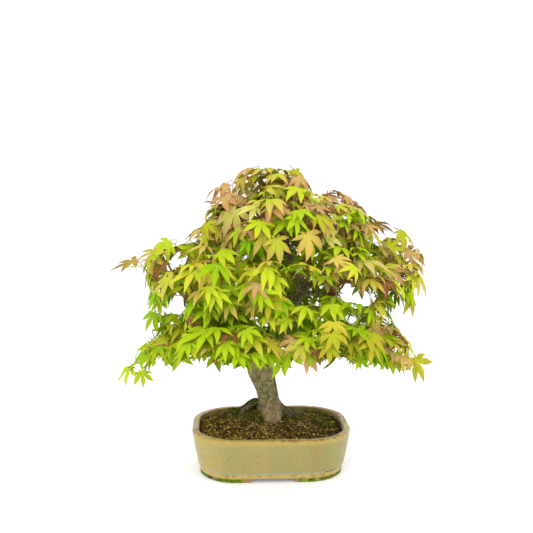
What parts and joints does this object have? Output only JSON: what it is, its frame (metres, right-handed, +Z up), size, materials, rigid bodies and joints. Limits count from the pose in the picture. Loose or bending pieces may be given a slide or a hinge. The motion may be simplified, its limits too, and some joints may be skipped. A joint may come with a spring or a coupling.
{
  "type": "potted bonsai maple tree",
  "caption": "A maple bonsai in a glazed rounded-rectangular pot: curved trunk with a flared foot, tapering boughs and a full crown of drooping lobed leaves",
  "frame": {"origin": "on the ground, under the middle of the whole plant and of the pot", "axes": "+X along the long side of the pot to the right as seen from the front, +Y towards the back of the tree, +Z up"},
  "size_m": [0.4078, 0.2983, 0.3849],
  "materials": {
    "glaze": "satin",
    "foot_clay": "matte",
    "soil": "matte",
    "bark": "matte",
    "leaf": "matte"
  },
  "bodies": {
    "root": {"bough_low_back_left": "bark", "bough_low_back_right": "bark", "bough_low_front_left": "bark", "bough_low_front_right": "bark", "bough_low_left": "bark", "bough_low_right": "bark", "bough_mid_back": "bark", "bough_mid_back_left": "bark", "bough_mid_back_right": "bark", "bough_mid_front": "bark", "bough_mid_front_left": "bark", "bough_mid_front_right": "bark", "bough_mid_left": "bark", "bough_mid_right": "bark", "bough_upper_back": "bark", "bough_upper_front": "bark", "bough_upper_left": "bark", "bough_upper_right": "bark", "foot_back_left": "foot_clay", "foot_back_right": "foot_clay", "foot_front_left": "foot_clay", "foot_front_right": "foot_clay", "leaves_apex": "leaf", "leaves_low_back_left": "leaf", "leaves_low_back_right": "leaf", "leaves_low_front_left": "leaf", "leaves_low_front_right": "leaf", "leaves_low_left": "leaf", "leaves_low_right": "leaf", "leaves_mid_back": "leaf", "leaves_mid_back_left": "leaf", "leaves_mid_back_right": "leaf", "leaves_mid_front": "leaf", "leaves_mid_front_left": "leaf", "leaves_mid_front_right": "leaf", "leaves_mid_left": "leaf", "leaves_mid_right": "leaf", "leaves_upper_back": "leaf", "leaves_upper_front": "leaf", "leaves_upper_left": "leaf", "leaves_upper_right": "leaf", "pot": "glaze", "soil": "soil", "trunk": "bark"}
  },
  "joints": []
}
